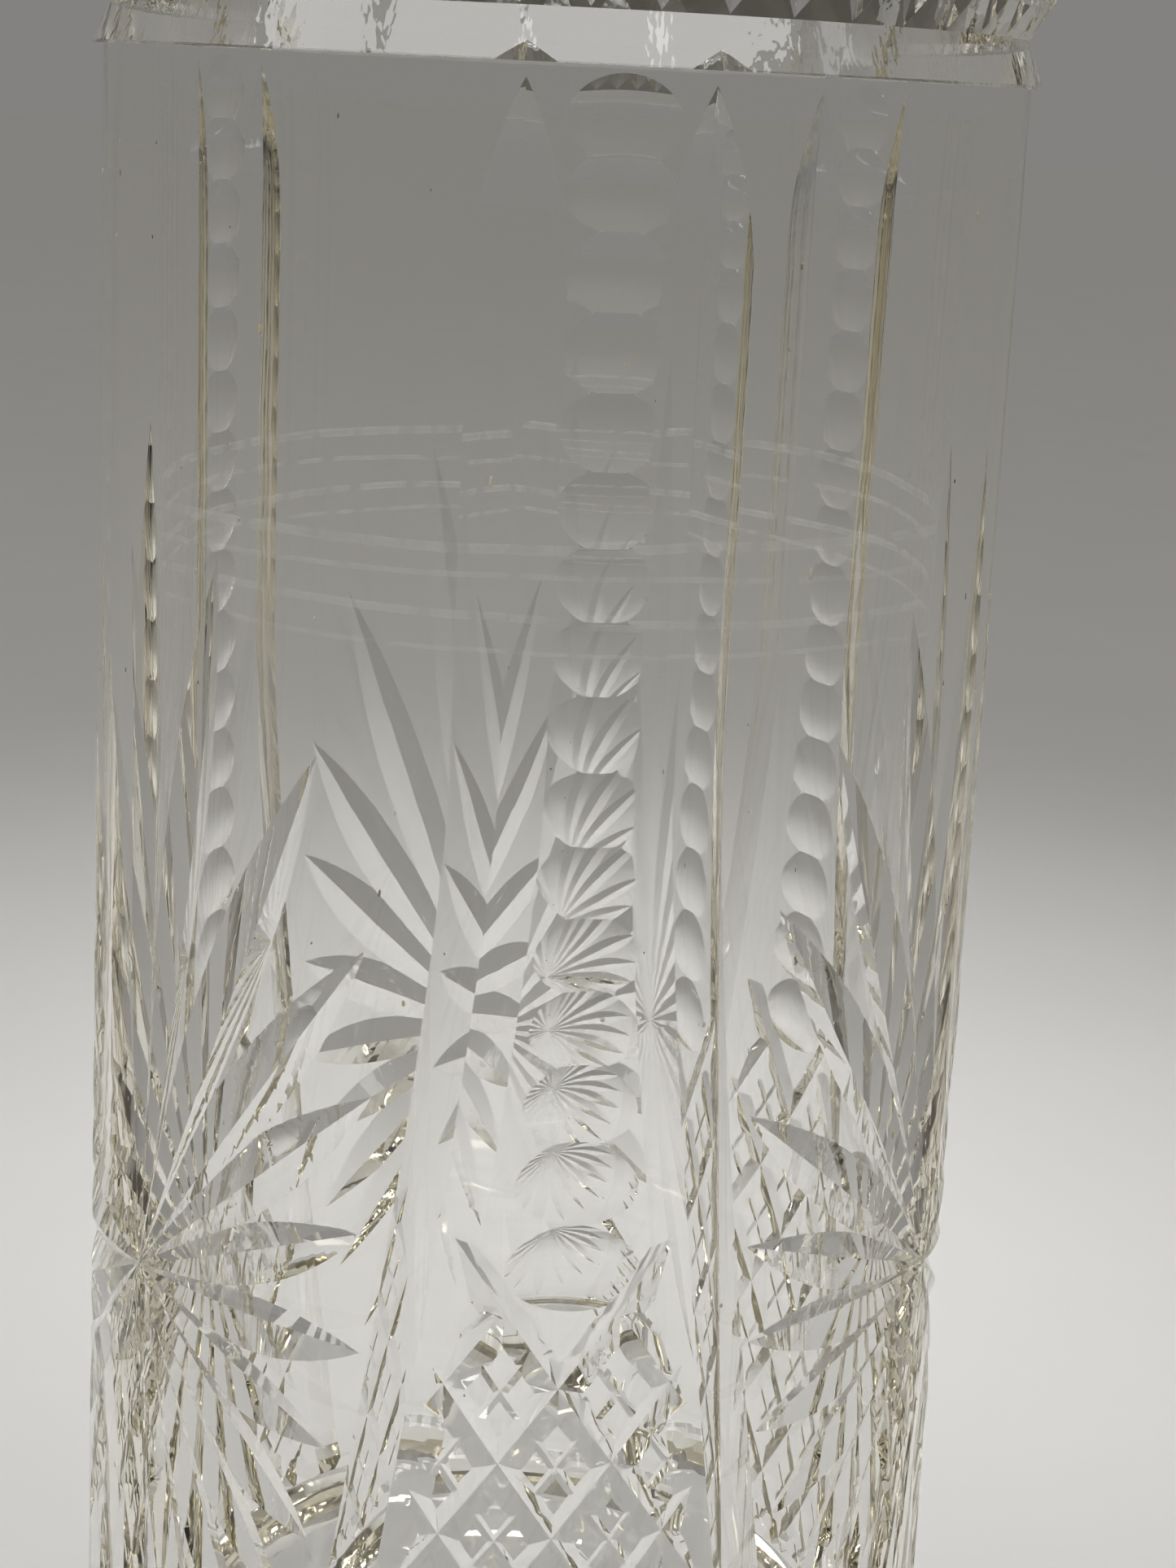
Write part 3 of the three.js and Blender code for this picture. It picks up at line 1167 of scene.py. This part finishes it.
@dataclass(frozen=True)
class LimescaleAndPaintedGlow:
    """Hard-water scale, dried on: a thin chalky film, broken and faint.

    It scatters light that passes through it, so it's a little brighter than what it covers. A weak emission
    stands
    for that: a painted glow, since the film is no lamp.
    """

    name: str = "limescale_film_painted_glow"
    colour: str = "#E9E7E0"
    grain_mm: float = 3.0
    grain_between: tuple[float, float] = (0.35, 0.65)
    cover: tuple[float, float] = (0.0, 0.16)
    # Emission strength of the film: a painted glow standing in for light the scale scatters
    painted_glow: float = 0.25

    def material(self) -> bpy.types.Material:
        """Make the node material.

        Returns:
            The material.
        """
        made = blank_material(self.name)
        tree = made.node_tree
        place = add(tree, "ShaderNodeTexCoord")
        grain = add(
            tree,
            "ShaderNodeTexNoise",
            {"Scale": 1.0 / (self.grain_mm * MM), "Detail": 3.0},
            {"Vector": place.outputs["Object"]},
        )
        cover = add(
            tree,
            "ShaderNodeMapRange",
            {
                "From Min": self.grain_between[0],
                "From Max": self.grain_between[1],
                "To Min": self.cover[0],
                "To Max": self.cover[1],
            },
            {"Value": grain.outputs["Fac"]},
        )
        scale = add(
            tree,
            "ShaderNodeBsdfPrincipled",
            {
                "Base Color": srgb(self.colour),
                "Roughness": 0.9,
                # Painted glow: emission in the scale's own colour, standing in for scattered light
                "Emission Color": srgb(self.colour),
                "Emission Strength": self.painted_glow,
            },
            {"Alpha": cover.outputs["Result"]},
        )
        add(tree, "ShaderNodeOutputMaterial", links={"Surface": scale.outputs["BSDF"]})
        return made


@dataclass(frozen=True)
class Dust:
    """House dust and lint: matt, pale, a few flecks yellowish or dark."""

    name: str = "house_dust"
    tones: tuple[tuple[float, str], ...] = ((0.30, "#3B362C"), (0.38, "#E6E4DD"), (0.68, "#CFC08A"))
    patch_mm: float = 14.0

    def material(self) -> bpy.types.Material:
        """Make the node material: each fleck takes its tone from where it lies.

        Returns:
            The material.
        """
        made = blank_material(self.name)
        tree = made.node_tree
        place = add(tree, "ShaderNodeTexCoord")
        patch = add(
            tree,
            "ShaderNodeTexNoise",
            {"Scale": 1.0 / (self.patch_mm * MM), "Detail": 1.0},
            {"Vector": place.outputs["Object"]},
        )
        tone = add(tree, "ShaderNodeValToRGB", links={"Fac": patch.outputs["Fac"]})
        set_stops(tone.color_ramp, self.tones)
        dust = add(
            tree,
            "ShaderNodeBsdfPrincipled",
            {"Roughness": 0.95},
            {"Base Color": tone.outputs["Color"]},
        )
        add(tree, "ShaderNodeOutputMaterial", links={"Surface": dust.outputs["BSDF"]})
        return made


@dataclass(frozen=True)
class PaperFloor:
    """Matt photographic paper: plain pale grey, with a very faint mottle."""

    name: str = "matt_paper"
    light: str = "#DDDCDB"
    dark: str = "#D8D7D6"
    mottle_mm: float = 60.0

    def material(self) -> bpy.types.Material:
        """Make the node material.

        Returns:
            The material.
        """
        made = blank_material(self.name)
        tree = made.node_tree
        place = add(tree, "ShaderNodeTexCoord")
        mottle = add(
            tree,
            "ShaderNodeTexNoise",
            {"Scale": 1.0 / (self.mottle_mm * MM), "Detail": 4.0},
            {"Vector": place.outputs["Object"]},
        )
        tone = add(
            tree,
            "ShaderNodeMix",
            {"data_type": "RGBA", 6: srgb(self.dark), 7: srgb(self.light)},
            {"Factor": mottle.outputs["Fac"]},
        )
        paper = add(
            tree,
            "ShaderNodeBsdfPrincipled",
            {"Roughness": 0.95, "Specular IOR Level": 0.2},
            {"Base Color": tone.outputs[2]},
        )
        add(tree, "ShaderNodeOutputMaterial", links={"Surface": paper.outputs["BSDF"]})
        return made


# ---------------------------------------------------------------- studio


@dataclass(frozen=True)
class Lamp:
    """One soft rectangular light, aimed at a point."""

    name: str
    place: tuple[float, float, float]
    aim: tuple[float, float, float]
    size: tuple[float, float]
    watts: float
    colour: str = "#FFFFFF"
    spread: float = 180.0

    def build(self) -> bpy.types.Object:
        """Make the light, in metres, with its face towards its aim.

        Returns:
            The light, which the camera doesn't see.
        """
        data = bpy.data.lights.new(self.name, "AREA")
        data.shape = "RECTANGLE"
        data.size, data.size_y = self.size
        data.energy = self.watts
        data.color = srgb(self.colour)[:3]
        data.spread = math.radians(self.spread)
        lamp = bpy.data.objects.new(self.name, data)
        lamp.location = self.place
        lamp.rotation_euler = (Vector(self.aim) - Vector(self.place)).to_track_quat("-Z", "Y").to_euler()
        lamp.visible_camera = False
        bpy.context.scene.collection.objects.link(lamp)
        return lamp


@dataclass(frozen=True)
class Eye:
    """The camera: a phone's main lens, a little above the rim's height, close to the vase."""

    azimuth: float = -5.734
    away: float = 322.731
    height: float = 233.589
    yaw: float = 1.166
    pitch: float = 14.981
    roll: float = 2.873
    lens: float = 59.40
    sensor: float = 36.0
    nearest: float = 0.01

    def build(self) -> bpy.types.Object:
        """Make the scene's camera, turned by its yaw, its pitch and then its roll.

        Returns:
            The camera.
        """
        a, y, p, r = (math.radians(v) for v in (self.azimuth, self.yaw, self.pitch, self.roll))
        up = np.array([0.0, 0.0, 1.0])
        ahead = np.array([-math.sin(a), math.cos(a), 0.0])
        right = np.array([math.cos(a), math.sin(a), 0.0])
        level = ahead * math.cos(y) + right * math.sin(y)
        side = right * math.cos(y) - ahead * math.sin(y)
        view = level * math.cos(p) - up * math.sin(p)
        over = level * math.sin(p) + up * math.cos(p)
        x_axis = side * math.cos(r) + over * math.sin(r)
        y_axis = -side * math.sin(r) + over * math.cos(r)
        place = MM * np.array([self.away * math.sin(a), -self.away * math.cos(a), self.height])
        data = bpy.data.cameras.new("eye")
        data.sensor_fit = "VERTICAL"
        data.sensor_height = self.sensor
        data.lens = self.lens
        data.clip_start = self.nearest
        camera = bpy.data.objects.new("eye", data)
        turn = np.eye(4)
        turn[:3, 0], turn[:3, 1], turn[:3, 2], turn[:3, 3] = x_axis, y_axis, -view, place
        camera.matrix_world = Matrix(turn.tolist())
        bpy.context.scene.collection.objects.link(camera)
        bpy.context.scene.camera = camera
        return camera


@dataclass(frozen=True)
class Studio:
    """A wide paper floor, a room, and the lamps.

    Cut glass shows only what it bends into view, so the room goes from a grey horizon to a dark upper wall
    and then a lighter ceiling. `room_tones` gives its colours by the sine of the height above the horizon.
    """

    floor_radius: float = 12.0
    rings: int = 24
    steps: int = 64
    below: float = 0.0002
    room_tones: tuple[tuple[float, str], ...] = (
        (0.16, "#838280"), (0.34, "#46423B"), (0.56, "#46423B"), (0.72, "#9A9893"),
    )
    sun: float = 0.32
    sun_degrees: float = 60.0
    bounces: int = 32
    mirror_bounces: int = 16

    def floor(self) -> bpy.types.Object:
        """Lay the floor: a disc just under the glass, P(u, v) = (v^2 cos u, v^2 sin u, -below), in metres.

        Returns:
            The floor, as part of the stage.
        """
        turn = np.linspace(0.0, 2.0 * math.pi, self.steps, endpoint=False)
        radius = self.floor_radius * np.linspace(0.0, 1.0, self.rings + 1)[1:, None] ** 2
        grid = np.stack(np.broadcast_arrays(radius * np.cos(turn), radius * np.sin(turn), -self.below), -1)
        points = np.concatenate([grid.reshape(-1, 3), [[0.0, 0.0, -self.below]]])
        low = np.arange(self.rings - 1)[:, None] * self.steps
        here = np.arange(self.steps)[None, :]
        after = (here + 1) % self.steps
        quads = np.stack([low + here, low + here + self.steps, low + after + self.steps, low + after], -1)
        fan = np.stack([np.full(self.steps, len(points) - 1), here[0], after[0]], -1)
        mesh = bpy.data.meshes.new("paper_floor")
        mesh.from_pydata(points.tolist(), [], quads.reshape(-1, 4).tolist() + fan.tolist())
        mesh.materials.append(PaperFloor().material())
        floor = bpy.data.objects.new("paper_floor", mesh)
        bpy.context.scene.collection.objects.link(floor)
        return floor

    def room(self) -> None:
        """Light the room: its colour depends on how far above the horizon one looks."""
        world = bpy.data.worlds.new("room")
        world.use_nodes = True
        tree = world.node_tree
        tree.nodes.clear()
        place = add(tree, "ShaderNodeTexCoord")
        parts = add(tree, "ShaderNodeSeparateXYZ", links={"Vector": place.outputs["Generated"]})
        tone = add(tree, "ShaderNodeValToRGB", links={"Fac": parts.outputs["Z"]})
        set_stops(tone.color_ramp, self.room_tones)
        back = add(tree, "ShaderNodeBackground", {"Strength": 1.0}, {"Color": tone.outputs["Color"]})
        add(tree, "ShaderNodeOutputWorld", links={"Surface": back.outputs["Background"]})
        bpy.context.scene.world = world

    def build(self) -> None:
        """Make the floor, the room and the lamps, with enough bounces for thick glass."""
        self.floor()
        self.room()
        data = bpy.data.lights.new("floor_fill", "SUN")
        data.energy, data.angle = self.sun, math.radians(self.sun_degrees)
        fill = bpy.data.objects.new("floor_fill", data)
        bpy.context.scene.collection.objects.link(fill)
        for lamp in LAMPS:
            lamp.build()
        scene = bpy.context.scene
        scene.view_settings.view_transform = "Standard"
        scene.view_settings.look = "None"
        scene.cycles.max_bounces = self.bounces
        scene.cycles.caustics_refractive = False
        scene.cycles.caustics_reflective = False
        scene.cycles.transmission_bounces = self.bounces
        scene.cycles.glossy_bounces = self.mirror_bounces


# The middle of the rim and the height of a light panel, in metres
RIM_AIM = (0.0, 0.0, 0.24)
PANEL_HEIGHT = 0.14


def panel(name: str, azimuth: float, rise: float, wide: float, watts: float) -> Lamp:
    """One panel of the light round the front of the table, a metre from the vase and aimed at its rim.

    Together the panels make one arc of light, so that the band reflects it without a gap.

    Args:
        name: The lamp's name.
        azimuth: Where it stands round the vase, in degrees to the right of the front.
        rise: How high above the rim it hangs, in metres.
        wide: Its width in metres.
        watts: Its power.

    Returns:
        The lamp.
    """
    turn = math.radians(azimuth)
    place = (math.sin(turn), -math.cos(turn), RIM_AIM[2] + rise)
    return Lamp(name, place, RIM_AIM, (wide, PANEL_HEIGHT), watts)


LAMPS = (
    Lamp("pool", (0.04, 0.17, 0.9), (0.04, 0.17, 0.0), (0.2, 0.2), 0.43, spread=54.0),
    panel("left_panel", -72.0, 0.70, 0.68, 1.3),
    panel("front_left_panel", -36.0, 0.86, 0.68, 1.3),
    panel("front_panel", 0.0, 0.92, 0.68, 1.3),
    panel("front_right_panel", 36.0, 0.86, 0.68, 1.3),
    panel("window", 66.0, 0.73, 0.16, 0.12),
)


def main() -> None:
    """Build the vase and the studio, in order."""
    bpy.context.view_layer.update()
    Eye().build()
    glass = CutGlassVase()
    glass.dress(glass.build())
    for marks in (DriedWaterRings(), DustFlecks()):
        marks.dress(marks.build(glass.blank))
    Studio().build()
    log.info("studio: floor, room and %d lamps", len(LAMPS))


if __name__ == "__main__":
    main()
